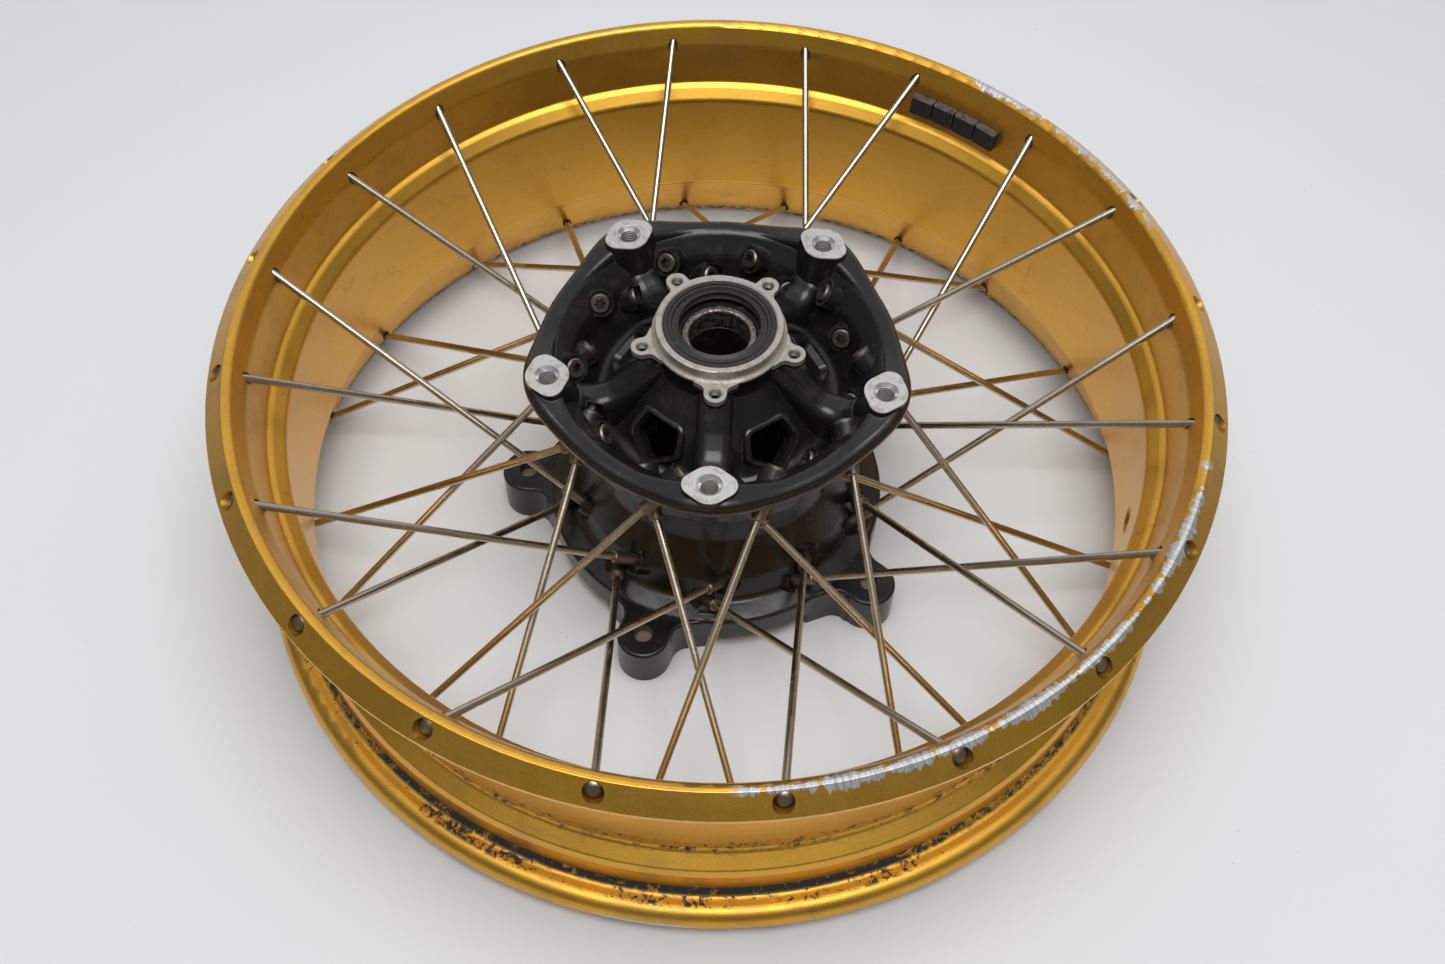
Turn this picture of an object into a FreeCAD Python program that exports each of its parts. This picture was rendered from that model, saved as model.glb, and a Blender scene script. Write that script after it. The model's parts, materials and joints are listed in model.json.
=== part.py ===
"""Cross-spoked tubeless motorcycle rear wheel, 17 x 4.25, without tyre, disc or sprocket carrier.

Millimetres.  The axle lies on Z with the brake-disc side up, and the origin is the wheel's centre,
on the rim's middle plane.  Angles are in degrees from +X about +Z.  "Disc" names what belongs to
the upper, brake-disc side, and "drive" what belongs to the lower, sprocket side.
"""
import FreeCAD, Part
import math
import os
from FreeCAD import Vector

# ---- driving dimensions -------------------------------------------------------------------------

# rim
FLANGE_R = 231.4            # outermost edge of the rim
SEAT_R = 217.3              # tyre bead seat at the flange
FLANGE_GAP = 107.94         # 4.25 inches between the two tyre flanges
WELL_R = 208.0              # floor of the drop well
WELL_HALF = 28.5            # half the width of that floor, before its corners are rounded
BARREL_R = 202.8            # inside of the barrel, facing the hub
RIM_HALF = 69.5             # half the rim's width
INNER_WALL_LOW = (210.6, 37.6)      # radius and height of the inner wall's ends
INNER_WALL_HIGH = (214.6, 59.0)
VALVE_ANGLE = 347.5
VALVE_R = 5.75

# spokes and nipples
SPOKES_PER_FAMILY = 10      # four families of ten spokes
SPOKE_R = 1.75
SPOKE_PITCH = 18.0          # angle between neighbouring heads on one side of the rim
FIRST_SPOKE = 9.0
SEAT_POINT_R = 227.0        # middle of a head recess on the rim's sloping edge
SEAT_POINT_Z = 66.2
HEAD_RECESS_R = 4.3
HEAD_SEAT_DEPTH = 4.0
HEAD_R = 3.75
RIM_HOLE_R = 2.6
STEEP_END = (82.4, 35.9, 24.0)      # nipple mouth of a steep spoke: radius, height, sweep angle
SHALLOW_END = (79.0, 26.4, 26.5)    # and of a shallow one
NIPPLE_R = 3.2
NIPPLE_BODY = 22.5          # from the nipple's mouth to the seat of its head
NIPPLE_HEAD_R = 4.8
NIPPLE_HEAD_T = 3.3
NIPPLE_BORE_R = 3.6         # hole for it in the hub
NIPPLE_PAD_R = 6.9          # thickening of the hub around each nipple seat
THREAD_LENGTH = 18.0        # how far a spoke goes into its nipple

# hub
LOBES = 5
FIRST_BOSS = -90.0
BOSS_CIRCLE_R = 80.5
BOSS_TOP = 63.5
DISC_BOLT_R = 4.0
DISC_BOLT_DEPTH = 24.0
LIP_R = 85.5                # hub's upper lip between the bosses
LIP_SWELL = 6.0             # how far it swells at each boss
LIP_RISE = 4.5              # and how far it rises there
LIP_TOP = 57.0
LIP_DEEP = 9.0
HOUSING_TOP = 76.6
HOUSING_R = 29.3
HOUSING_FOOT_R = 31.2       # thin flange that carries the ears
EAR_TOP = 70.6
EAR_CIRCLE_R = 36.25
EAR_R = 5.1
EAR_HOLE_R = 2.5
DRUM_R = 86.0
DRUM_BOTTOM = -62.0
LUG_CIRCLE_R = 98.5
LUG_R = 13.0
LUG_TOP = -47.2
LUG_BOTTOM = -71.5
LUG_ANGLE = 180.0
LUG_HOLE_R = 4.5
DAMPER_R = 11.0
DAMPER_TOP = -52.0
CORE_CAP = 3.0              # closed upper end of a damper's core

# bearings (28 x 52 x 12) and the parts between and beside them
BEARING_OD = 52.0
BEARING_BORE = 28.0
BEARING_W = 12.0
BALLS = 11
BALL_R = 3.55
BALL_CIRCLE_R = 20.2
GROOVE_R = 3.65
INNER_SHOULDER_R = 17.1
OUTER_SHOULDER_R = 23.4
DISC_BEARING_FACE = 68.5    # outer face of the disc-side bearing
DRIVE_BEARING_FACE = -58.0  # outer face of the drive-side one
TUBE_OD = 34.0
TUBE_BORE = 28.4
SHOULDER_R = 24.0           # hub shoulder behind each bearing
SEAL_W = 7.0
SEAL_LIP_R = 18.8
FIT = 0.03                  # radial gap of pressed and seated pieces

# balance weights on the rim's inner wall
WEIGHTS = 4
WEIGHT_ANGLE = 56.1         # middle of the row
WEIGHT_LENGTH = 12.4
WEIGHT_GAP = 0.7
WEIGHT_T = 4.0
WEIGHT_LOW = 43.8
WEIGHT_HIGH = 53.8
TAPE_T = 0.8
STUCK_GAP = 0.02            # between glued faces

ORIGIN = Vector(0, 0, 0)
AXLE = Vector(0, 0, 1)


# ---- helpers ------------------------------------------------------------------------------------

def outline(corners, place):
    """Closed wire through (a, b) or (a, b, radius) corners; a radius rounds its corner."""
    points = [place(c[0], c[1]) for c in corners]
    edges = []
    ends = []
    for i, corner in enumerate(corners):
        here = points[i]
        if len(corner) == 2:
            ends.append((here, here))
            continue
        back = (points[i - 1] - here).normalize()
        ahead = (points[(i + 1) % len(points)] - here).normalize()
        half = back.getAngle(ahead) / 2
        reach = corner[2] / math.tan(half)
        middle = here + (back + ahead).normalize() * (corner[2] / math.sin(half) - corner[2])
        ends.append((here + back * reach, here + ahead * reach))
        edges.append(Part.Arc(ends[-1][0], middle, ends[-1][1]).toShape())
    for i, (_, leave) in enumerate(ends):
        following = (i + 1) % len(ends)
        arrive = ends[following][0]
        if (arrive - leave).dot(points[following] - points[i]) < -1e-6:
            raise ValueError("corner radii overlap near " + str(corners[i]))
        if leave.distanceToPoint(arrive) > 1e-4:
            edges.append(Part.makeLine(leave, arrive))
    return Part.Wire(Part.__sortEdges__(edges))


def turned(corners):
    """Solid of revolution about the axle from (radius, height) corners."""
    wire = outline(corners, lambda r, z: Vector(r, 0, z))
    return Part.Face(wire).revolve(ORIGIN, AXLE, 360)


def plate(corners, low, high):
    """Upright prism between two heights from (x, y) corners."""
    wire = outline(corners, lambda x, y: Vector(x, y, low))
    return Part.Face(wire).extrude(Vector(0, 0, high - low))


def upright(corners, thickness):
    """Prism centred on the XZ plane from (x, z) corners."""
    wire = outline(corners, lambda x, z: Vector(x, -thickness / 2, z))
    return Part.Face(wire).extrude(Vector(0, thickness, 0))


def pipe(r_out, r_in, low, high):
    body = Part.makeCylinder(r_out, high - low, Vector(0, 0, low))
    return body.cut(Part.makeCylinder(r_in, high - low + 2, Vector(0, 0, low - 1)))


def turn(shape, angle):
    copy = shape.copy()
    copy.rotate(ORIGIN, AXLE, angle)
    return copy


def polar(r, z, angle):
    a = math.radians(angle)
    return Vector(r * math.cos(a), r * math.sin(a), z)


def around(shape, count, first=0.0):
    """Copies of a shape, evenly spaced about the axle."""
    return [turn(shape, first + 360.0 * i / count) for i in range(count)]


def mirrored(shape):
    return shape.mirror(ORIGIN, AXLE)


def solids_of(shapes):
    found = []
    for shape in shapes:
        found.extend(shape.Solids)
    return found


def write(name, *shapes):
    solids = solids_of(shapes)
    for solid in solids:
        if not solid.isValid():
            raise ValueError(name + " has an invalid solid")
    shape = solids[0] if len(solids) == 1 else Part.makeCompound(solids)
    shape.exportStep("parts/" + name + ".step")
    print(name, len(solids), "solid(s)", round(shape.Volume / 1000.0, 2), "cm3")


# ---- spoke lines --------------------------------------------------------------------------------

class SpokeLine:
    """Axis of one spoke, from its head recess in the rim to the mouth of its nipple at the hub.

    side is +1 for heads in the disc-side edge of the rim, whose nipples sit in the drive-side half
    of the hub, and -1 for the others.
    """

    def __init__(self, side, end, turn_way, angle):
        end_r, end_z, sweep = end
        self.head = polar(SEAT_POINT_R, side * SEAT_POINT_Z, angle)
        self.mouth = polar(end_r, -side * end_z, angle + turn_way * sweep)
        self.along = (self.mouth - self.head).normalize()
        self.length = (self.mouth - self.head).Length

    def at(self, distance):
        return self.head + self.along * distance

    def rod(self, radius, start, stop):
        return Part.makeCylinder(radius, stop - start, self.at(start), self.along)

    def cone(self, r_start, r_stop, start, stop):
        return Part.makeCone(r_start, r_stop, stop - start, self.at(start), self.along)


def spoke_families():
    """Name, side of the rim, and the ten lines of each family of spokes."""
    families = []
    for side, side_name in ((1, "disc_rim"), (-1, "drive_rim")):
        for end, end_name, offset in ((STEEP_END, "steep", 0), (SHALLOW_END, "shallow", 1)):
            way = -side if offset == 0 else side
            first = FIRST_SPOKE + offset * SPOKE_PITCH
            lines = [SpokeLine(side, end, way, first + 2 * SPOKE_PITCH * i)
                     for i in range(SPOKES_PER_FAMILY)]
            families.append((side_name + "_" + end_name, side, lines))
    return families


def spoke(line):
    """Button-headed spoke with a short taper under the head."""
    seat = HEAD_SEAT_DEPTH
    shank = line.rod(SPOKE_R, seat - 0.5, line.length + THREAD_LENGTH)
    button = line.rod(HEAD_R, seat - 1.6, seat)
    dome = line.cone(HEAD_R - 1.3, HEAD_R, seat - 2.6, seat - 1.6)
    neck = line.cone(SPOKE_R + 0.5, SPOKE_R, seat, seat + 2.0)
    return shank.multiFuse([button, dome, neck]).removeSplitter()


def star_prism(line, start, stop):
    """Six-lobed driver recess."""
    lobe_r = 0.8
    ring_r = 2.0
    core = line.rod(ring_r, start, stop)
    side_way = line.along.cross(AXLE).normalize()
    other_way = line.along.cross(side_way).normalize()
    lobes = []
    for i in range(6):
        a = math.radians(60.0 * i)
        shift = side_way * (ring_r * math.cos(a)) + other_way * (ring_r * math.sin(a))
        lobes.append(Part.makeCylinder(lobe_r, stop - start, line.at(start) + shift, line.along))
    return core.multiFuse(lobes)


def nipple(line):
    """Threaded tube with a round head and a driver recess at its inner end."""
    mouth = line.length
    seat = mouth + NIPPLE_BODY
    end = seat + NIPPLE_HEAD_T
    body = line.rod(NIPPLE_R, mouth + 0.6, seat + 0.5)
    tip = line.cone(NIPPLE_R - 0.5, NIPPLE_R, mouth, mouth + 0.6)
    head = line.rod(NIPPLE_HEAD_R, seat, end - 0.7)
    crown = line.cone(NIPPLE_HEAD_R, NIPPLE_HEAD_R - 0.6, end - 0.7, end)
    solid = body.multiFuse([tip, head, crown]).removeSplitter()
    bore = line.rod(SPOKE_R + FIT, mouth - 1, mouth + THREAD_LENGTH + 1)
    return solid.cut([bore, star_prism(line, end - 4.2, end + 1)])


# ---- rim ----------------------------------------------------------------------------------------

def rim_section():
    """Corners of the rim's cross-section, upper half then mirrored lower half."""
    flange = FLANGE_GAP / 2
    outside = [
        (WELL_R, WELL_HALF, 3.0),                   # well floor
        (SEAT_R - 1.2, 33.2, 1.8),                  # slope out of the well
        (SEAT_R + 0.2, 37.4, 1.8),                  # safety hump
        (SEAT_R - 1.1, 41.0, 2.5),
        (SEAT_R, flange, 4.5),                      # bead seat and its heel
        (FLANGE_R, flange, 7.4),                    # flange, curling outwards
        (FLANGE_R, 61.9, 0.4),                      # outermost edge
        (223.0, RIM_HALF, 0.5),                     # slope with the spoke heads, up to the crest
        (219.5, RIM_HALF - 0.25, 3.3),              # rounded inner side of the crest
    ]
    inside = [
        INNER_WALL_HIGH + (10.0,),
        INNER_WALL_LOW + (1.8,),
        (208.0, 36.2, 4.0),                         # shoulder, leaning in to the barrel
        (BARREL_R, 30.6, 4.0),
    ]
    upper = outside + inside
    lower = [(c[0], -c[1]) + tuple(c[2:]) for c in reversed(upper)]
    return upper + lower


def valve_hole():
    bore = Part.makeCylinder(VALVE_R, 20, polar(BARREL_R - 8, 0, 0), Vector(1, 0, 0))
    chamfer = Part.makeCone(VALVE_R + 3.0, VALVE_R, 3.0, polar(BARREL_R - 1.3, 0, 0), Vector(1, 0, 0))
    return turn(bore.fuse(chamfer), VALVE_ANGLE)


def rim(families):
    body = turned(rim_section())
    tools = [valve_hole()]
    for _, _, lines in families:
        for line in lines:
            tools.append(line.rod(RIM_HOLE_R, HEAD_SEAT_DEPTH - 1, HEAD_SEAT_DEPTH + 20))
            tools.append(line.rod(HEAD_RECESS_R, HEAD_SEAT_DEPTH - 12, HEAD_SEAT_DEPTH))
    return body.cut(tools)


# ---- hub ----------------------------------------------------------------------------------------

def hub_section():
    """Corners of the hub's turned body: disc-side bowl, waist, drive-side drum, then the bore."""
    disc_seat = DISC_BEARING_FACE - BEARING_W
    drive_seat = DRIVE_BEARING_FACE + BEARING_W
    bore = BEARING_OD / 2
    return [
        (bore, HOUSING_TOP - 0.6),
        (bore + 0.6, HOUSING_TOP),
        (HOUSING_R, HOUSING_TOP, 0.6),              # machined ring of the seal housing
        (HOUSING_R, EAR_TOP + 1.4, 1.6),
        (HOUSING_FOOT_R, EAR_TOP, 0.3),
        (HOUSING_FOOT_R, EAR_TOP - 1.2, 0.5),
        (29.0, 67.2, 1.5),
        (29.6, 58.5, 6.0),
        (52.0, 26.5, 6.0),                          # cone carrying the windows
        (58.0, 25.3, 4.5),                          # bottom of the bowl
        (64.9, 37.0, 4.0),                          # bowl wall
        (68.7, 47.5, 8.0),
        (76.8, LIP_TOP - 0.2, 4.5),
        (80.5, LIP_TOP - 0.2),
        (80.5, LIP_TOP - LIP_DEEP + 0.3),
        (77.4, 46.6, 2.0),                          # outside, under the lip
        (74.4, 42.0, 4.0),
        (70.8, 32.3, 6.0),
        (71.3, 19.5, 2.0),
        (61.0, 15.0, 3.0),                          # step in to the waist
        (57.0, 6.0, 9.0),
        (61.0, -12.0, 10.0),                        # flare of the drive-side half
        (70.8, -32.3, 8.0),
        (75.0, -44.0, 4.0),
        (DRUM_R, -47.2, 2.5),                       # drum
        (DRUM_R, DRUM_BOTTOM, 1.5),
        (DRUM_R - 6.0, DRUM_BOTTOM, 1.5),
        (DRUM_R - 7.5, -54.0, 3.0),                 # open cup under it
        (68.7, -49.0, 5.0),
        (64.9, -37.5, 5.0),
        (58.0, -29.0, 5.0),
        (34.0, -27.0, 5.0),
        (31.5, -66.0, 1.0),                         # drive-side bearing housing
        (31.5, -68.8, 1.0),
        (bore + 0.6, -68.8),
        (bore, -68.2),
        (bore, DRIVE_BEARING_FACE - 2.15),
        (bore + 1.5, DRIVE_BEARING_FACE - 2.15),    # groove of the retaining ring
        (bore + 1.5, DRIVE_BEARING_FACE),
        (bore, DRIVE_BEARING_FACE),
        (bore, drive_seat),
        (SHOULDER_R, drive_seat),
        (SHOULDER_R, disc_seat),
        (bore, disc_seat),
    ]


def hub_cavity():
    """Hollow ring inside the hub that the windows open into."""
    return turned([
        (29.6, 45.0),
        (31.0, 45.0, 1.0),
        (46.6, 21.5, 4.0),
        (50.4, 18.6, 3.0),
        (49.4, 7.0, 8.0),
        (54.0, -10.0, 6.0),
        (58.0, -20.5, 4.0),
        (29.6, -20.5, 4.0),
    ])


def lip():
    """One fifth of the hub's rounded upper lip, which swells and rises at the boss at +X."""
    sections = []
    steps = 12
    for i in range(steps + 1):
        angle = (i / steps - 0.5) * 360.0 / LOBES
        swell = (0.5 + 0.5 * math.cos(math.radians(LOBES * angle))) ** 2
        outer = LIP_R + LIP_SWELL * swell
        top = LIP_TOP + LIP_RISE * swell
        corners = [(75.2, top - LIP_DEEP), (76.6, top, 3.0), (outer, top, 4.0), (outer, top - LIP_DEEP, 4.0)]
        sections.append(outline(corners, lambda r, z: polar(r, z, angle)))
    return Part.makeLoft(sections, True)


def pad_outline(scale, middle_r, z):
    """Lens-like outline of a brake-disc pad at +X."""
    corners = [(12.2, 0.0, 9.0), (0.0, 16.2, 6.0), (-12.2, 0.0, 9.0), (0.0, -16.2, 6.0)]
    scaled = [(a * scale, b * scale, c * scale) for a, b, c in corners]
    return outline(scaled, lambda a, b: Vector(middle_r + a, b, z))


def boss():
    """Bell under one brake-disc bolt, with a machined pad on it and a small rib outside."""
    foot = 43.0
    bell = Part.makeLoft([pad_outline(1.28, BOSS_CIRCLE_R - 2.5, foot), pad_outline(1.0, BOSS_CIRCLE_R, BOSS_TOP)],
                         True, True)
    limits = turned([(60.0, foot), (76.0, foot), (83.0, 51.0, 3.0), (91.2, 54.0, 2.0), (91.2, BOSS_TOP),
                     (60.0, BOSS_TOP)])
    rib = Part.makeBox(11.0, 7.5, 23.0, Vector(68.0, -3.75, 27.0))
    return bell.common(limits).fuse(rib)


def spur():
    """Rounded rib from the bearing housing out to a boss."""
    width = 17.0
    rib = upright([(27.5, 63.0), (31.0, 63.0, 3.0), (44.0, 51.0, 20.0), (57.5, 41.0, 12.0), (67.0, 48.5, 5.0),
                   (71.5, 48.5), (71.5, 40.0), (60.0, 22.0), (52.0, 22.0), (31.0, 50.0), (27.5, 50.0)], width)
    ridges = []
    for edge in rib.Edges:
        middle = edge.CenterOfMass
        on_top = middle.z > max(40.5, 62.0 - 0.95 * (middle.x - 30.0))
        if abs(middle.y) > width / 2 - 0.1 and on_top and 28.0 < middle.x < 71.4:
            ridges.append(edge)
    return rib.makeFillet(6.0, ridges)


def window_outline(scale, lift):
    """Five-cornered outline at a distance above the face of a window's frame, at +X."""
    slope = math.radians(41.0)
    normal = Vector(math.cos(slope), 0, math.sin(slope))
    down = Vector(math.sin(slope), 0, -math.cos(slope))
    centre = Vector(47.6, 0, 35.9)
    corners = ((-10.0, -8.6), (-10.0, 8.6), (1.0, 11.6), (10.5, 0.0), (1.0, -11.6))
    rounded = [(a * scale, b * scale, 3.0 * scale) for a, b in corners]
    return outline(rounded, lambda a, b: centre + down * a + Vector(0, b, 0) + normal * lift)


def window_frame():
    """Raised collar round one window."""
    return Part.makeLoft([window_outline(1.5, -8.0), window_outline(1.3, -0.6), window_outline(1.22, 0.0)],
                         True, True)


def window():
    """Bevelled opening through a window's frame and the wall behind it."""
    through = Part.makeLoft([window_outline(0.96, -13.0), window_outline(0.96, -3.0)], True, True)
    bevel = Part.makeLoft([window_outline(0.96, -3.0), window_outline(1.16, 1.0)], True, True)
    return through.fuse(bevel)


def ear():
    """Drilled ear for the wheel-speed ring, at +X."""
    reach = EAR_CIRCLE_R + EAR_R
    return plate([(27.5, -10.6), (30.2, -9.8), (33.0, -EAR_R, 3.5), (reach, -EAR_R, EAR_R - 0.05),
                  (reach, EAR_R, EAR_R - 0.05), (33.0, EAR_R, 3.5), (30.2, 9.8), (27.5, 10.6)],
                  EAR_TOP - 4.6, EAR_TOP)


def lug():
    """Drive lug at +X, blended into the drum, with a casting seam down its nose."""
    reach = LUG_CIRCLE_R + LUG_R
    nose = [(79.4, -27.0), (81.0, -27.0, 1.0), (89.0, -LUG_R, 9.0), (reach, -LUG_R, LUG_R - 0.05),
            (reach, LUG_R, LUG_R - 0.05), (89.0, LUG_R, 9.0), (81.0, 27.0, 1.0), (79.4, 27.0)]
    body = plate(nose, LUG_BOTTOM, LUG_TOP)
    edges = [e for e in body.Edges if e.BoundBox.ZMin > LUG_TOP - 0.01 and e.BoundBox.XMax > 82.0]
    body = body.makeFillet(1.6, edges)
    seam = Part.makeBox(2.4, 1.4, LUG_TOP - LUG_BOTTOM - 3.0)
    seam.translate(Vector(LUG_CIRCLE_R - 5.2, -LUG_R - 0.7, LUG_BOTTOM + 0.5))
    return body.fuse(seam)


def hub_cuts():
    """Bolt holes, ear holes, damper pockets and the windows."""
    bolt_hole = Part.makeCylinder(DISC_BOLT_R, DISC_BOLT_DEPTH,
                                  Vector(BOSS_CIRCLE_R, 0, BOSS_TOP - DISC_BOLT_DEPTH))
    mouth = Part.makeCone(DISC_BOLT_R, 5.8, 1.8, Vector(BOSS_CIRCLE_R, 0, BOSS_TOP - 1.8))
    ear_hole = Part.makeCylinder(EAR_HOLE_R, 8, Vector(EAR_CIRCLE_R, 0, EAR_TOP - 6))
    ear_mouth = Part.makeCone(EAR_HOLE_R, 3.1, 0.6, Vector(EAR_CIRCLE_R, 0, EAR_TOP - 0.6))
    lug_hole = Part.makeCylinder(LUG_HOLE_R, 20, Vector(LUG_CIRCLE_R, 0, LUG_TOP - 10))
    pocket = Part.makeCylinder(DAMPER_R, DAMPER_TOP - LUG_BOTTOM + 1,
                               Vector(LUG_CIRCLE_R, 0, LUG_BOTTOM - 1))
    cuts = around(bolt_hole.fuse(mouth), LOBES, FIRST_BOSS)
    cuts += around(ear_hole.fuse(ear_mouth), LOBES, FIRST_BOSS)
    cuts += around(lug_hole.fuse(pocket), LOBES, LUG_ANGLE)
    cuts += around(window(), LOBES, FIRST_BOSS + 180.0 / LOBES)
    return cuts


def hub(families):
    body = turned(hub_section()).cut(hub_cavity())
    added = around(lip(), LOBES, FIRST_BOSS)
    added += around(boss(), LOBES, FIRST_BOSS)
    added += around(spur(), LOBES, FIRST_BOSS)
    added += around(window_frame(), LOBES, FIRST_BOSS + 180.0 / LOBES)
    added += around(ear(), LOBES, FIRST_BOSS)
    added += around(lug(), LOBES, LUG_ANGLE)
    cuts = hub_cuts()
    for _, _, lines in families:
        for line in lines:
            seat = line.length + NIPPLE_BODY
            added.append(line.rod(NIPPLE_PAD_R, seat - 10.5, seat + 1.8))
            cuts.append(line.rod(NIPPLE_BORE_R, seat - 22, seat + 1))
            cuts.append(line.rod(NIPPLE_HEAD_R + 0.8, seat, seat + 7.0))
    body = body.multiFuse(added)
    bore = BEARING_OD / 2
    cuts.append(Part.makeCylinder(bore, 30, Vector(0, 0, DISC_BEARING_FACE - BEARING_W)))
    return body.cut(cuts)


# ---- bearings, seals and the tube between the bearings --------------------------------------------

def bearing_outer(middle):
    half = BEARING_W / 2
    outer = BEARING_OD / 2 - FIT
    ring = turned([(OUTER_SHOULDER_R, middle - half + 0.6), (OUTER_SHOULDER_R + 0.6, middle - half),
                   (outer, middle - half, 1.0), (outer, middle + half, 1.0),
                   (OUTER_SHOULDER_R + 0.6, middle + half), (OUTER_SHOULDER_R, middle + half - 0.6)])
    return ring.cut(Part.makeTorus(BALL_CIRCLE_R, GROOVE_R, Vector(0, 0, middle)))


def bearing_inner(middle):
    half = BEARING_W / 2
    bore = BEARING_BORE / 2
    ring = turned([(bore, middle - half, 1.2), (INNER_SHOULDER_R, middle - half, 0.5),
                   (INNER_SHOULDER_R, middle + half, 0.5), (bore, middle + half, 1.2)])
    return ring.cut(Part.makeTorus(BALL_CIRCLE_R, GROOVE_R, Vector(0, 0, middle)))


def bearing_balls(middle):
    ball = Part.makeSphere(BALL_R, Vector(BALL_CIRCLE_R, 0, middle))
    return around(ball, BALLS)


def bearing_cage(middle):
    ring = pipe(21.7, 18.7, middle - 4.5, middle + 4.5)
    pocket = Part.makeCylinder(BALL_R + 0.2, 10.0, Vector(BALL_CIRCLE_R - 5.0, 0, middle), Vector(1, 0, 0))
    return ring.cut(around(pocket, BALLS))


def bearing_shields(middle):
    inner = INNER_SHOULDER_R + 0.4
    return [pipe(OUTER_SHOULDER_R - FIT, inner, middle + side * 5.2 - 0.3, middle + side * 5.2 + 0.3)
            for side in (1, -1)]


def seal_case(top):
    """Rubber-covered ring pressed into the housing, with two shallow grooves in its face."""
    outer = BEARING_OD / 2 - FIT
    return turned([(21.6, top - 2.2), (21.6, top - 1.0), (22.2, top - 0.2), (23.2, top - 0.2),
                   (23.4, top - 0.6), (23.8, top - 0.6), (24.0, top), (outer - 0.5, top),
                   (outer, top - 0.5), (outer, top - SEAL_W), (24.6, top - SEAL_W),
                   (24.6, top - 2.6, 0.3), (23.9, top - 2.2)])


def seal_lip(top):
    """Flexible lip that would run on the axle's spacer, with a dust lip above it."""
    return turned([(21.55, top - 1.1), (20.6, top - 1.0), (SEAL_LIP_R, top - 0.2), (SEAL_LIP_R, top - 0.9),
                   (20.3, top - 1.9), (20.2, top - 3.4), (SEAL_LIP_R + 0.2, top - 4.6),
                   (19.9, top - 6.0), (21.0, top - 6.3), (21.55, top - 5.2)])


def seal_spring(top):
    """Garter spring round the back of the lip, as one plain ring."""
    coil_r = 0.5
    return Part.makeTorus(21.55 + FIT + coil_r, coil_r, Vector(0, 0, top - 4.5))


def tube():
    low = DRIVE_BEARING_FACE + BEARING_W
    high = DISC_BEARING_FACE - BEARING_W
    r_out = TUBE_OD / 2
    r_in = TUBE_BORE / 2
    return turned([(r_in, low, 0.5), (r_out, low, 0.8), (r_out, high, 0.8), (r_in, high, 0.5)])


def retaining_ring():
    """Internal retaining ring with a gap and two drilled ends."""
    top = DRIVE_BEARING_FACE - 0.03
    ring = pipe(27.3, 23.4, top - 2.0, top)
    ends = [Part.makeCylinder(2.6, 2.0, polar(22.9, top - 2.0, a)) for a in (11.0, -11.0)]
    gap = upright([(18.0, top - 3.0), (30.0, top - 3.0), (30.0, top + 1.0), (18.0, top + 1.0)], 3.4)
    holes = [Part.makeCylinder(1.2, 4.0, polar(22.7, top - 3.0, a)) for a in (11.0, -11.0)]
    return ring.multiFuse(ends).cut([gap] + holes)


# ---- drive-lug dampers and balance weights --------------------------------------------------------

def damper(part):
    """One piece of a rubber-in-steel damper bush, at +X: sleeve, rubber or core."""
    high = DAMPER_TOP - 0.5
    if part == "sleeve":
        piece = pipe(DAMPER_R - FIT, 9.8, LUG_BOTTOM, high)
    elif part == "rubber":
        piece = pipe(9.79, 6.51, LUG_BOTTOM + 1.2, high - 1.2)
    else:
        piece = Part.makeCylinder(6.5, high - LUG_BOTTOM, Vector(0, 0, LUG_BOTTOM))
        piece = piece.cut(Part.makeCylinder(4.25, high - CORE_CAP - LUG_BOTTOM + 1, Vector(0, 0, LUG_BOTTOM - 1)))
    piece.translate(Vector(LUG_CIRCLE_R, 0, 0))
    return piece


def inner_wall_r(z):
    """Radius of the rim's inner wall at a height."""
    share = (z - INNER_WALL_LOW[1]) / (INNER_WALL_HIGH[1] - INNER_WALL_LOW[1])
    return INNER_WALL_LOW[0] + share * (INNER_WALL_HIGH[0] - INNER_WALL_LOW[0])


def weight_blocks(near, far, chamfer):
    """Row of small blocks between two distances in front of the rim's inner wall."""
    pitch = math.degrees((WEIGHT_LENGTH + WEIGHT_GAP) / INNER_WALL_LOW[0])
    length = math.degrees(WEIGHT_LENGTH / INNER_WALL_LOW[0])
    section = [(inner_wall_r(z) - gap, z) for z, gap in (
        (WEIGHT_LOW, near), (WEIGHT_LOW, far), (WEIGHT_HIGH, far), (WEIGHT_HIGH, near))]
    block = Part.Face(outline(section, lambda r, z: Vector(r, 0, z))).revolve(ORIGIN, AXLE, length)
    if chamfer:
        middle_r = inner_wall_r(WEIGHT_HIGH) - (near + far) / 2
        face = [e for e in block.Edges if all(math.hypot(v.X, v.Y) < middle_r for v in e.Vertexes)]
        block = block.makeChamfer(chamfer, face)
    first = WEIGHT_ANGLE - length / 2 - pitch * (WEIGHTS - 1) / 2
    return [turn(block, first + pitch * i) for i in range(WEIGHTS)]


# ---- everything -----------------------------------------------------------------------------------

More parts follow.
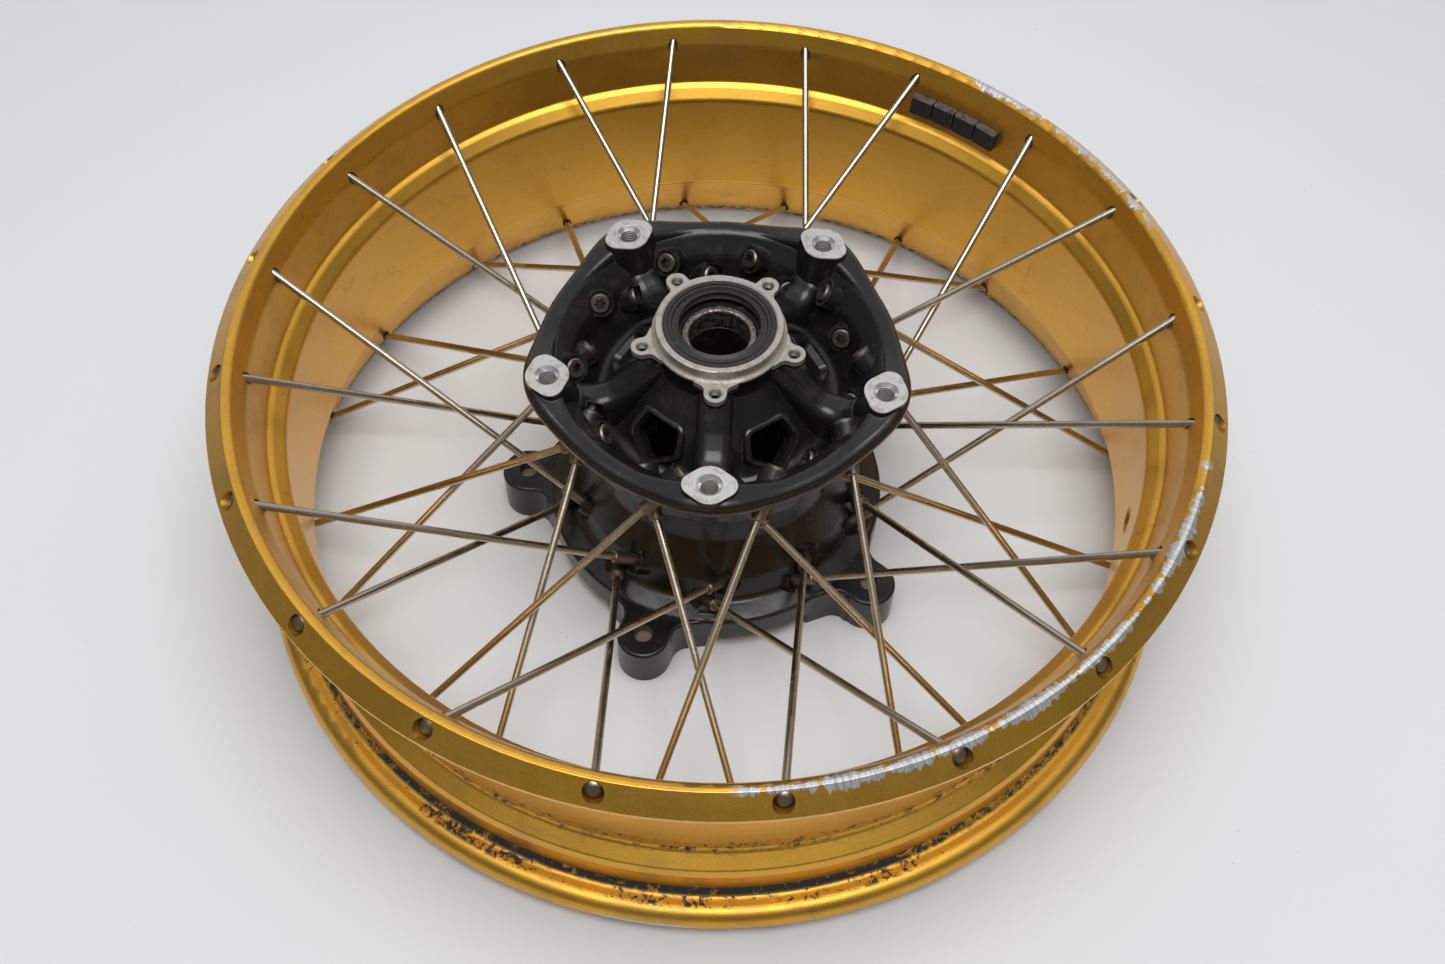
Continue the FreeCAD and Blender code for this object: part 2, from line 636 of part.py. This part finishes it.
def main():
    os.makedirs("parts", exist_ok=True)
    families = spoke_families()
    write("rim", rim(families))
    write("hub_shell", hub(families))
    for name, _, lines in families:
        write("spokes_" + name, *[spoke(line) for line in lines])
        write("nipples_" + name, *[nipple(line) for line in lines])

    middles = {"disc": DISC_BEARING_FACE - BEARING_W / 2, "drive": DRIVE_BEARING_FACE + BEARING_W / 2}
    for side, middle in middles.items():
        write("bearing_" + side + "_outer", bearing_outer(middle))
        write("bearing_" + side + "_inner", bearing_inner(middle))
        write("bearing_" + side + "_balls", *bearing_balls(middle))
        write("bearing_" + side + "_cage", bearing_cage(middle))
        write("bearing_" + side + "_shields", *bearing_shields(middle))
    write("distance_tube", tube())
    write("retaining_ring", retaining_ring())

    disc_seal_top = HOUSING_TOP - 0.4
    drive_seal_top = 68.4
    write("seal_disc_case", seal_case(disc_seal_top))
    write("seal_disc_lip", seal_lip(disc_seal_top))
    write("seal_disc_spring", seal_spring(disc_seal_top))
    write("seal_drive_case", mirrored(seal_case(drive_seal_top)))
    write("seal_drive_lip", mirrored(seal_lip(drive_seal_top)))
    write("seal_drive_spring", mirrored(seal_spring(drive_seal_top)))

    write("damper_sleeves", *around(damper("sleeve"), LOBES, LUG_ANGLE))
    write("damper_rubbers", *around(damper("rubber"), LOBES, LUG_ANGLE))
    write("damper_cores", *around(damper("core"), LOBES, LUG_ANGLE))

    stuck = STUCK_GAP + TAPE_T
    write("weight_tape", *weight_blocks(STUCK_GAP, stuck, 0.0))
    write("balance_weights", *weight_blocks(stuck + STUCK_GAP, stuck + STUCK_GAP + WEIGHT_T, 0.6))


main()
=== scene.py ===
"""Looks of the spoked wheel: gold rim, steel spokes, black hub, and a plain pale studio."""
import json
import math

import bpy
from mathutils import Matrix, Vector


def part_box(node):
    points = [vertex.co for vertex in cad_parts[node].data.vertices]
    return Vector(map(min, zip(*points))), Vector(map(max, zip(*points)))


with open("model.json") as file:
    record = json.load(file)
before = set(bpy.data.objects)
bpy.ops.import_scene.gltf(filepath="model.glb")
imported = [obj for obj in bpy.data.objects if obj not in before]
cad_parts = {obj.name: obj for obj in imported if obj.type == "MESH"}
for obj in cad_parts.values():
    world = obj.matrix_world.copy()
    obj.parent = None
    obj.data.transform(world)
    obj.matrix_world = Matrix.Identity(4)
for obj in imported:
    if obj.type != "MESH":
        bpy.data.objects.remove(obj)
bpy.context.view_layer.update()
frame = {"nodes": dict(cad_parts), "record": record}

LOBES = 5
FIRST_BOSS = -90.0          # angle of a brake-disc bolt, in degrees
BOSS_CIRCLE_R = 0.0805
EAR_CIRCLE_R = 0.03625
FLOOR_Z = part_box("damper_cores")[0].z
SEAT_R = 0.2173             # the rim's tyre bead seat
FLANGE_Z = 0.0540           # half the gap between its two flanges
CREST = (0.2224, 0.0693)    # radius and height of the ridge along its edge
WHITE = (0.985, 0.99, 1.0)  # of the studio lights
# dark brown of the painted shade in the corners of the steel parts
CORNER_SHADE_COLOUR = (0.035, 0.022, 0.012)


# ---- materials ----------------------------------------------------------------------------------

class Look:
    """One procedural material, built from the place of each point on the wheel, in metres."""

    def __init__(self, name, colour, roughness, metallic=0.0):
        self.material = bpy.data.materials.new(name)
        self.material.use_nodes = True
        self.tree = self.material.node_tree
        self.shader = self.tree.nodes["Principled BSDF"]
        self.shader.inputs["Metallic"].default_value = metallic
        self.colour = self.rgb(colour)
        self.rough = roughness
        self.metal = None
        self.height = None
        place = self.node("TexCoord").outputs["Object"]
        split = self.node("SeparateXYZ")
        self.wire(place, split.inputs[0])
        self.place = place
        self.x, self.y, self.z = split.outputs
        self.r = self.distance(self.x, self.y)
        self.cos = self.math("DIVIDE", self.x, self.r)
        self.sin = self.math("DIVIDE", self.y, self.r)

    # plumbing
    def node(self, kind, **settings):
        node = self.tree.nodes.new("ShaderNode" + kind)
        for key, value in settings.items():
            setattr(node, key, value)
        return node

    def wire(self, value, socket):
        if isinstance(value, bpy.types.NodeSocket):
            self.tree.links.new(value, socket)
        else:
            socket.default_value = value

    def math(self, operation, *values, clamp=False):
        node = self.node("Math", operation=operation, use_clamp=clamp)
        for value, socket in zip(values, node.inputs):
            self.wire(value, socket)
        return node.outputs[0]

    def distance(self, across, along):
        return self.math("SQRT", self.math("ADD", self.math("MULTIPLY", across, across),
                                           self.math("MULTIPLY", along, along)))

    def rgb(self, colour):
        return tuple(colour) + (1.0,)

    def vector(self, *parts):
        node = self.node("CombineXYZ")
        for value, socket in zip(parts, node.inputs):
            self.wire(value, socket)
        return node.outputs[0]

    # masks
    def ramp(self, value, low, high):
        """0 below low and 1 above high, smoothly; or falling, if high is the lower."""
        falling = high < low
        node = self.node("MapRange", interpolation_type="SMOOTHSTEP")
        self.wire(value, node.inputs["Value"])
        ends = (high, low, 1.0, 0.0) if falling else (low, high, 0.0, 1.0)
        for name, end in zip(("From Min", "From Max", "To Min", "To Max"), ends):
            node.inputs[name].default_value = end
        return node.outputs["Result"]

    def both(self, *masks):
        result = masks[0]
        for mask in masks[1:]:
            result = self.math("MULTIPLY", result, mask)
        return result

    def either(self, first, *others):
        result = first
        for mask in others:
            result = self.math("MAXIMUM", result, mask)
        return result

    def between(self, value, low, high, soft):
        return self.both(self.ramp(value, low - soft, low + soft), self.ramp(value, high + soft, high - soft))

    def arc(self, middle, half, soft):
        """1 within half degrees of an angle about the axle."""
        a = math.radians(middle)
        toward = self.math("ADD", self.math("MULTIPLY", self.cos, math.cos(a)),
                           self.math("MULTIPLY", self.sin, math.sin(a)))
        return self.ramp(toward, math.cos(math.radians(half + soft)), math.cos(math.radians(half - soft)))

    def near(self, radius, first_angle):
        """Distance from the nearest of five axes on a circle about the axle."""
        angle = self.math("ARCTAN2", self.y, self.x)
        pitch = 2 * math.pi / LOBES
        turned = self.math("SUBTRACT", angle, math.radians(first_angle) - pitch / 2)
        local = self.math("SUBTRACT", self.math("FLOORED_MODULO", turned, pitch), pitch / 2)
        across = self.math("MULTIPLY", self.r, self.math("SINE", local))
        out = self.math("SUBTRACT", self.math("MULTIPLY", self.r, self.math("COSINE", local)), radius)
        return self.distance(across, out)

    def noise(self, scale, detail=4.0, roughness=0.55, place=None, w=None, distortion=0.0):
        node = self.node("TexNoise", noise_dimensions="3D" if w is None else "4D")
        self.wire(place if place is not None else self.place, node.inputs["Vector"])
        if w is not None:
            self.wire(w, node.inputs["W"])
        node.inputs["Scale"].default_value = scale
        node.inputs["Detail"].default_value = detail
        node.inputs["Roughness"].default_value = roughness
        node.inputs["Distortion"].default_value = distortion
        return node.outputs["Fac"]

    def patches(self, scale, detail, roughness, low, high, distortion=0.0):
        """1 where a noise is above high, and 0 where it is below low."""
        return self.ramp(self.noise(scale, detail, roughness, distortion=distortion), low, high)

    def streaks(self, along, across, detail=3.0):
        """Noise drawn out round the axle, with so many grains a metre along it and across it."""
        place = self.vector(self.math("MULTIPLY", self.x, along), self.math("MULTIPLY", self.y, along),
                            self.math("MULTIPLY", self.r, across))
        return self.noise(1.0, detail, 0.6, place, self.math("MULTIPLY", self.z, across))

    def crossing(self, radius, along, across, detail=3.0):
        """Noise drawn out across the rim's edge, with so many grains a metre round the axle."""
        place = self.vector(self.math("MULTIPLY", self.cos, radius * along),
                            self.math("MULTIPLY", self.sin, radius * along),
                            self.math("MULTIPLY", self.math("ADD", self.r, self.z), across))
        return self.noise(1.0, detail, 0.6, place)

    def edges(self, radius):
        """1 on sharp edges."""
        bevel = self.node("Bevel", samples=6)
        bevel.inputs["Radius"].default_value = radius
        dot = self.node("VectorMath", operation="DOT_PRODUCT")
        self.wire(bevel.outputs[0], dot.inputs[0])
        self.wire(self.node("NewGeometry").outputs["Normal"], dot.inputs[1])
        return self.ramp(dot.outputs["Value"], 0.985, 0.90)

    def corners(self, distance):
        """1 in corners and holes, from ambient occlusion: the mask for painted shade in the hollows."""
        shade = self.node("AmbientOcclusion", samples=6)
        shade.inputs["Distance"].default_value = distance
        return self.math("SUBTRACT", 1.0, shade.outputs["AO"], clamp=True)

    def facing_up(self):
        split = self.node("SeparateXYZ")
        self.wire(self.node("NewGeometry").outputs["Normal"], split.inputs[0])
        return split.outputs["Z"]

    # layers
    def blend(self, mask, first, second):
        node = self.node("Mix", data_type="FLOAT")
        self.wire(mask, node.inputs[0])
        self.wire(first, node.inputs[2])
        self.wire(second, node.inputs[3])
        return node.outputs[0]

    def layer(self, mask, colour=None, roughness=None, metallic=None):
        """Another finish over what is there already, where the mask is 1."""
        if colour is not None:
            node = self.node("Mix", data_type="RGBA")
            self.wire(mask, node.inputs[0])
            self.wire(self.colour, node.inputs[6])
            self.wire(self.rgb(colour), node.inputs[7])
            self.colour = node.outputs[2]
        if roughness is not None:
            self.rough = self.blend(mask, self.rough, roughness)
        if metallic is not None:
            before = self.metal if self.metal is not None else self.shader.inputs["Metallic"].default_value
            self.metal = self.blend(mask, before, metallic)

    def tint(self, value, amount, mask=None):
        """Lightens and darkens the colour by a noise around 0.5, where the mask is 1."""
        if mask is not None:
            value = self.math("ADD", 0.5, self.both(mask, self.math("SUBTRACT", value, 0.5)))
        node = self.node("HueSaturation")
        self.wire(self.colour, node.inputs["Color"])
        gain = self.math("ADD", 1.0 - amount / 2, self.math("MULTIPLY", value, amount))
        self.wire(gain, node.inputs["Value"])
        self.colour = node.outputs[0]

    def raise_by(self, value, metres):
        """Adds to the height that the bump node reads, in metres."""
        scaled = self.math("MULTIPLY", value, metres)
        self.height = scaled if self.height is None else self.math("ADD", self.height, scaled)

    def done(self):
        self.wire(self.colour, self.shader.inputs["Base Color"])
        self.wire(self.rough, self.shader.inputs["Roughness"])
        if self.metal is not None:
            self.wire(self.metal, self.shader.inputs["Metallic"])
        if self.height is not None:
            bump = self.node("Bump")
            bump.inputs["Strength"].default_value = 1.0
            bump.inputs["Distance"].default_value = 1.0
            self.wire(self.height, bump.inputs["Height"])
            self.wire(bump.outputs[0], self.shader.inputs["Normal"])
        return self.material


def tyre_residue(look):
    """Black rubber left by the tyre: a line in the corner of the lower flange, and peeled patches."""
    peel = look.noise(240.0, 7.0, 0.78, distortion=0.3)
    wide = look.noise(16.0, 2.0)
    flange = look.ramp(look.z, -FLANGE_Z + 0.0050, -FLANGE_Z + 0.0038)
    front = look.arc(263.0, 34.0, 4.0)
    line = look.both(look.between(look.r, SEAT_R - 0.0009, SEAT_R + 0.0023, 0.0008), flange,
                     look.ramp(look.math("ADD", peel, look.math("MULTIPLY", front, 0.09)), 0.47, 0.53))
    soiled = look.either(look.arc(240.0, 3.0, 2.0), look.arc(268.0, 6.0, 3.0), look.arc(294.0, 3.0, 2.0))
    spread = look.math("ADD", look.math("MULTIPLY", wide, 0.30), look.math("MULTIPLY", soiled, 0.07))
    patches = look.both(look.between(look.r, SEAT_R + 0.0017, SEAT_R + 0.0077, 0.0012), flange,
                        look.ramp(look.math("ADD", peel, spread), 0.745, 0.775))
    well_edge = look.both(look.between(look.z, -0.0290, -0.0205, 0.0015), look.ramp(look.r, 0.2112, 0.2098),
                          look.ramp(look.r, 0.2065, 0.2072), look.ramp(peel, 0.52, 0.58))
    seat = look.both(look.between(look.math("ABSOLUTE", look.z), 0.036, 0.050, 0.003),
                     look.ramp(look.r, 0.2140, 0.2150), look.ramp(peel, 0.64, 0.70))
    rubbed = look.either(line, patches, well_edge, seat)
    look.layer(rubbed, colour=(0.020, 0.016, 0.012), roughness=0.65, metallic=0.0)
    look.raise_by(rubbed, 0.00006)


def chipped_crest(look):
    """Bare scratched metal along the upper edge, and one long scrape low on the lower edge."""
    beside = look.math("SUBTRACT", look.r, CREST[0])
    below = look.math("SUBTRACT", look.z, CREST[1])
    apex = look.distance(beside, below)
    reach = look.crossing(CREST[0], 330.0, 60.0, 5.0)
    slow = look.crossing(CREST[0], 55.0, 5.0, 2.0)
    ragged = look.math("MULTIPLY", look.math("SUBTRACT", reach, 0.5), 0.0100)
    width = look.math("ADD", 0.0017, look.math("MULTIPLY", look.math("SUBTRACT", slow, 0.5), 0.011))
    span = look.either(look.arc(309.5, 35.0, 1.0), look.arc(39.0, 17.0, 1.5))
    inside = look.math("SUBTRACT", look.math("ADD", ragged, width), apex)
    chipped = look.both(span, look.ramp(inside, -0.0001, 0.0002))
    look.layer(chipped, colour=(0.62, 0.61, 0.60), roughness=0.45, metallic=0.8)
    scratch = look.crossing(CREST[0], 1300.0, 90.0, 4.0)
    look.tint(scratch, 1.8, chipped)
    look.raise_by(look.both(chipped, scratch), 0.00030)
    scrape = look.both(look.arc(265.0, 5.0, 0.8), look.ramp(look.r, 0.2304, 0.2308),
                       look.between(look.z, -0.0625, -0.0598, 0.0003),
                       look.ramp(look.streaks(12.0, 900.0), 0.36, 0.46))
    look.layer(scrape, colour=(0.62, 0.62, 0.61), roughness=0.4, metallic=0.8)


def gold_rim():
    """Satin gold anodising, worn to bare metal on the upper edge and rubbed black by the tyre."""
    look = Look("gold_anodised_rim", (0.82, 0.435, 0.050), 0.36, 1.0)
    look.shader.inputs["Coat Weight"].default_value = 0.4
    look.shader.inputs["Coat Roughness"].default_value = 0.34
    broad = look.noise(22.0, 5.0, 0.6)
    grain = look.noise(1700.0, 2.0, 0.6)
    turned = look.streaks(12.0, 900.0)
    look.tint(broad, 0.30)
    look.tint(turned, 0.12)
    look.tint(grain, 0.60)
    look.rough = look.math("ADD", 0.30, look.math("MULTIPLY", broad, 0.16))
    look.raise_by(grain, 0.000075)
    look.raise_by(turned, 0.000010)
    # greyer rubbed film on the inner wall, browner drip-like stains in patches all over the rim
    film = look.both(look.ramp(look.r, 0.2100, 0.2130), look.patches(34.0, 5.0, 0.65, 0.46, 0.68))
    look.layer(look.both(film, 0.35), colour=(0.42, 0.245, 0.085), roughness=0.5)
    stain = look.patches(48.0, 6.0, 0.72, 0.60, 0.74, distortion=0.8)
    look.layer(look.both(stain, 0.40), colour=(0.27, 0.135, 0.035), roughness=0.5)
    # Painted shade: dark brown in the rim's corners and hollows, from ambient occlusion.
    painted_corner_shade = look.ramp(look.corners(0.005), 0.30, 0.80)
    look.layer(look.both(painted_corner_shade, 0.80), colour=(0.085, 0.042, 0.012), roughness=0.6, metallic=0.4)
    # Partly painted shade in the wider hollows, from ambient occlusion, and partly a smudged brown stain
    # where the patches fall.
    patchy_shade_and_smudge = look.both(look.ramp(look.corners(0.014), 0.30, 0.75),
                      look.patches(80.0, 4.0, 0.6, 0.40, 0.62))
    look.layer(look.both(patchy_shade_and_smudge, 0.35), colour=(0.20, 0.095, 0.025), roughness=0.55)
    tyre_residue(look)
    chipped_crest(look)
    return look.done()


def machined_faces(look):
    """Bare pads, seal housing ring and ears, with the threads of their holes."""
    bolt = look.near(BOSS_CIRCLE_R, FIRST_BOSS)
    ear = look.near(EAR_CIRCLE_R, FIRST_BOSS)
    pad = look.both(look.ramp(look.z, 0.0628, 0.0632), look.ramp(look.r, 0.060, 0.062))
    ring = look.both(look.ramp(look.r, 0.0445, 0.0435), look.ramp(look.z, 0.0677, 0.0683))
    chamfer = look.both(look.ramp(bolt, 0.0062, 0.0059), look.ramp(look.z, 0.0400, 0.0410))
    ear_hole = look.both(look.ramp(ear, 0.0029, 0.0027), look.ramp(look.z, 0.060, 0.061))
    machined = look.either(pad, ring, chamfer, ear_hole)
    grain = look.noise(900.0, 3.0, 0.6)
    turned = look.noise(1.0, 3.0, 0.6, look.vector(look.math("MULTIPLY", look.r, 5200.0),
                                                   look.math("MULTIPLY", look.z, 5200.0), 0.0))
    swirl = look.noise(1.0, 3.0, 0.6, look.vector(look.math("MULTIPLY", bolt, 3200.0),
                                                  look.math("MULTIPLY", look.x, 120.0),
                                                  look.math("MULTIPLY", look.y, 120.0)))
    look.layer(machined, colour=(0.66, 0.64, 0.61), roughness=0.38, metallic=0.70)
    look.layer(ring, colour=(0.50, 0.465, 0.42), roughness=0.46)
    look.tint(turned, 0.5, ring)
    look.tint(swirl, 1.1, pad)
    look.raise_by(look.both(pad, swirl), 0.00005)
    look.raise_by(look.both(ring, turned), 0.00001)
    look.raise_by(look.both(machined, grain), 0.00001)
    stained = look.both(machined, look.patches(240.0, 5.0, 0.7, 0.48, 0.62),
                        look.ramp(bolt, 0.0058, 0.0064))
    look.layer(look.both(stained, 0.58), colour=(0.27, 0.215, 0.155), roughness=0.6, metallic=0.3)
    bright = look.both(look.ramp(bolt, 0.0061, 0.0058), look.ramp(look.z, 0.0612, 0.0616))
    look.layer(bright, colour=(0.88, 0.88, 0.87), roughness=0.25, metallic=0.9)
    # threads of the bolt holes and ear holes
    for radius, pitch, distance, low in ((0.0043, 0.00125, bolt, 0.0615), (0.0027, 0.0008, ear, 0.0700)):
        wave = look.math("SINE", look.math("MULTIPLY", look.z, 2 * math.pi / pitch))
        wall = look.both(look.ramp(distance, radius, radius - 0.0001), look.ramp(look.z, low + 0.0002, low))
        # The thread roots are painted dark: painted shade in the grooves that only the bump draws.
        look.layer(look.both(wall, look.ramp(wave, 0.2, -0.8)), colour=(0.05, 0.045, 0.04), roughness=0.5)
        look.raise_by(look.both(wall, wave), 0.00022)


def black_hub():
    """Glossy black paint over a casting, with bright machined faces and worn window edges."""
    look = Look("black_cast_hub", (0.0105, 0.0098, 0.0094), 0.20)
    cloud = look.noise(45.0, 5.0, 0.6)
    look.rough = look.math("ADD", 0.15, look.math("MULTIPLY", cloud, 0.20))
    look.raise_by(look.noise(700.0, 3.0), 0.000022)
    look.raise_by(look.noise(120.0, 2.0), 0.00012)
    # dust and dried smears in patches, the dust on faces that look upward
    dust = look.both(look.patches(70.0, 6.0, 0.68, 0.50, 0.72, distortion=0.4),
                     look.ramp(look.facing_up(), -0.2, 0.7))
    look.layer(look.both(dust, 0.22), colour=(0.080, 0.072, 0.062), roughness=0.55)
    brown = look.patches(38.0, 4.0, 0.6, 0.48, 0.70)
    look.layer(look.both(brown, 0.09), colour=(0.050, 0.036, 0.028), roughness=0.4)
    # paint worn through on edges
    worn = look.both(look.edges(0.0007), look.patches(210.0, 4.0, 0.6, 0.46, 0.60))
    look.layer(look.both(worn, 0.55), colour=(0.20, 0.175, 0.15), roughness=0.42)
    machined_faces(look)
    # Painted shade: near black in the hub's corners and hollows, from ambient occlusion.
    hub_corner_shade = look.ramp(look.corners(0.004), 0.45, 0.95)
    look.layer(look.both(hub_corner_shade, 0.8), colour=(0.010, 0.008, 0.007), roughness=0.6, metallic=0.2)
    return look.done()


def steel(name, colour, roughness, dirty, grain=1200.0, spread=0.14):
    """Satin steel, darkened towards the corners with painted shade."""
    look = Look(name, colour, roughness, 1.0)
    cloud = look.noise(55.0, 5.0, 0.65)
    look.tint(cloud, 0.35)
    look.rough = look.math("ADD", roughness - spread / 2, look.math("MULTIPLY", cloud, spread))
    look.raise_by(look.noise(grain, 3.0), 0.000012)
    spots = look.both(look.patches(330.0, 5.0, 0.75, 0.56, 0.68), dirty)
    look.layer(spots, colour=(0.16, 0.10, 0.055), roughness=0.6, metallic=0.5)
    # Painted shade: dark brown in corners and hollows, from ambient occlusion.
    corner = look.ramp(look.corners(0.003), 0.35, 0.9)
    look.layer(look.both(corner, 0.85), colour=CORNER_SHADE_COLOUR, roughness=0.65, metallic=0.2)
    return look


def spoke_steel():
    """Stainless spokes, browner near the hub, with the heads in the rim painted dark brown as painted shade
    of their deep holes.
    """
    look = steel("stainless_spoke", (0.54, 0.49, 0.41), 0.26, 0.08)
    hubward = look.ramp(look.r, 0.125, 0.080)
    tarnish = look.patches(90.0, 5.0, 0.7, 0.42, 0.66)
    look.layer(look.both(hubward, tarnish, 0.55), colour=(0.21, 0.145, 0.09), roughness=0.42, metallic=0.8)
    # Painted shade: the heads sit deep in their holes in the rim, so they are painted dark brown.
    recessed_head_shade = look.both(look.ramp(look.r, 0.2235, 0.2242),
                     look.ramp(look.math("ABSOLUTE", look.z), 0.060, 0.0605))
    look.layer(look.both(recessed_head_shade, 0.9), colour=(0.12, 0.082, 0.045), roughness=0.46, metallic=0.8)
    return look.done()


def nipple_steel():
    look = steel("dull_nipple", (0.25, 0.205, 0.165), 0.42, 0.5)
    # Painted shade: near black in the star recesses and other hollows, from ambient occlusion.
    black = look.ramp(look.corners(0.0035), 0.42, 0.62)
    look.layer(black, colour=(0.006, 0.005, 0.004), roughness=0.7, metallic=0.0)
    return look.done()


def bearing_steel():
    """Ground bearing rings under old grease."""
    look = steel("greasy_bearing_ring", (0.36, 0.31, 0.26), 0.36, 0.7)
    grease = look.patches(420.0, 4.0, 0.7, 0.46, 0.62)
    look.layer(look.both(grease, 0.8), colour=(0.045, 0.036, 0.028), roughness=0.3, metallic=0.1)
    look.raise_by(look.both(grease, look.noise(600.0, 2.0)), 0.00025)
    return look.done()


def rubber(name, colour, roughness, rings=0.0):
    look = Look(name, colour, roughness)
    cloud = look.noise(140.0, 5.0, 0.65)
    look.tint(cloud, 0.7)
    look.rough = look.math("ADD", roughness - 0.1, look.math("MULTIPLY", cloud, 0.2))
    look.raise_by(look.noise(2200.0, 2.0), 0.00002)
    if rings:
        wave = look.math("SINE", look.math("MULTIPLY", look.r, 2 * math.pi / rings))
        look.raise_by(wave, 0.000008)
        crests = look.both(look.ramp(wave, 0.5, 1.0), look.ramp(cloud, 0.4, 0.6), 0.18)
        look.layer(crests, colour=(0.08, 0.07, 0.06))
    dust = look.both(look.patches(260.0, 6.0, 0.7, 0.55, 0.7),
                     look.ramp(look.facing_up(), 0.3, 0.9), 0.4)
    look.layer(dust, colour=(0.13, 0.11, 0.09), roughness=0.8)
    return look.done()


def balance_coat():
    """Black coat on the small weights, rubbed grey-brown on top."""
    look = Look("coated_weight", (0.014, 0.013, 0.013), 0.5)
    cloud = look.noise(300.0, 5.0, 0.7)
    look.tint(cloud, 0.8)
    look.raise_by(look.noise(1500.0, 3.0), 0.00006)
    top = look.both(look.ramp(look.facing_up(), 0.35, 0.8), look.ramp(cloud, 0.36, 0.55))
    look.layer(look.both(top, 0.75), colour=(0.13, 0.105, 0.085), roughness=0.55)
    worn = look.edges(0.0005)
    look.layer(look.both(worn, 0.5), colour=(0.20, 0.17, 0.14))
    return look.done()


def bush_steel():
    return steel("rusty_bush_steel", (0.34, 0.25, 0.16), 0.48, 0.9).done()


def dark_steel():
    return steel("oiled_spring_steel", (0.12, 0.115, 0.11), 0.34, 0.3).done()


def tube_steel():
    return steel("plain_tube_steel", (0.16, 0.145, 0.13), 0.42, 0.6).done()


def ball_steel():
    return steel("polished_ball_steel", (0.75, 0.75, 0.76), 0.09, 0.0, spread=0.04).done()


SLOT_LOOKS = {
    "gold_rim": gold_rim(),
    "black_hub": black_hub(),
    "spoke_steel": spoke_steel(),
    "nipple_steel": nipple_steel(),
    "ball_steel": ball_steel(),
    "cage_plastic": rubber("cage_polymer", (0.05, 0.04, 0.03), 0.5),
    "shield_rubber": rubber("bearing_shield_rubber", (0.010, 0.009, 0.008), 0.45),
    "bearing_steel": bearing_steel(),
    "tube_steel": tube_steel(),
    "spring_steel": dark_steel(),
    "seal_rubber": rubber("seal_rubber", (0.017, 0.0155, 0.013), 0.5, rings=0.0011),
    "bush_steel": bush_steel(),
    "damper_rubber": rubber("damper_rubber", (0.012, 0.012, 0.012), 0.6),
    "tape_foam": rubber("mounting_tape", (0.02, 0.02, 0.02), 0.8),
    "weight_coat": balance_coat(),
}

for part in frame["record"]["subparts"]:
    mesh = frame["nodes"][part["node"]].data
    mesh.materials.clear()
    mesh.materials.append(SLOT_LOOKS[part["material_slot"]])


# ---- studio -------------------------------------------------------------------------------------

def floor():
    """Pale seamless floor with the faint mottling and specks of a used paper sweep."""
    half = 4.0
    mesh = bpy.data.meshes.new("studio_floor")
    z = FLOOR_Z - 0.0002
    corners = [(-half, -half, z), (half, -half, z), (half, half, z), (-half, half, z)]
    mesh.from_pydata(corners, [], [(0, 1, 2, 3)])
    sheet = bpy.data.objects.new("studio_floor", mesh)
    bpy.context.scene.collection.objects.link(sheet)
    look = Look("pale_paper", (0.79, 0.805, 0.82), 0.60)
    look.tint(look.noise(3.0, 3.0), 0.05)
    speck = look.patches(420.0, 2.0, 0.4, 0.775, 0.80)
    look.layer(look.both(speck, 0.35), colour=(0.3, 0.3, 0.31))
    mesh.materials.append(look.done())


def area_light(name, location, target, size, power):
    light = bpy.data.lights.new(name, "AREA")
    light.shape = "RECTANGLE"
    light.size, light.size_y = size
    light.energy = power
    light.color = WHITE
    lamp = bpy.data.objects.new(name, light)
    lamp.location = location
    lamp.rotation_euler = (Vector(target) - Vector(location)).to_track_quat("-Z", "Y").to_euler()
    bpy.context.scene.collection.objects.link(lamp)


def studio():
    floor()
    world = bpy.data.worlds.new("studio_air")
    bpy.context.scene.world = world
    world.use_nodes = True
    background = world.node_tree.nodes["Background"]
    background.inputs["Color"].default_value = (0.90, 0.94, 1.0, 1.0)
    background.inputs["Strength"].default_value = 0.15
    area_light("ceiling_softbox", (0.0, 0.15, 1.7), (0, 0.15, 0), (3.4, 3.5), 15.0)
    area_light("overhead_softbox", (0.05, -0.30, 1.6), (0, 0, 0), (1.1, 1.1), 19.0)
    area_light("back_softbox", (0.0, 2.1, 0.9), (0, 0, 0.6), (5.0, 1.6), 14.0)


def camera():
    """Three-quarter view from above, with the slight roll of a hand-held shot."""
    location = Vector((0.014857, -0.43751, 0.57986))
    target = Vector((0.004346, -0.035536, 0.00139))
    roll = math.radians(1.673)
    ahead = (target - location).normalized()
    right = ahead.cross(Vector((0, 0, 1))).normalized()
    up = right.cross(ahead)
    across = math.cos(roll) * right + math.sin(roll) * up
    above = math.cos(roll) * up - math.sin(roll) * right
    turn = Matrix((across, above, -ahead)).transposed()
    lens = bpy.data.cameras.new("camera")
    lens.sensor_width = 36.0
    lens.lens = 36.477
    eye = bpy.data.objects.new("camera", lens)
    eye.matrix_world = Matrix.Translation(location) @ turn.to_4x4()
    bpy.context.scene.collection.objects.link(eye)
    bpy.context.scene.camera = eye


studio()
camera()
bpy.context.scene.view_settings.view_transform = "Standard"
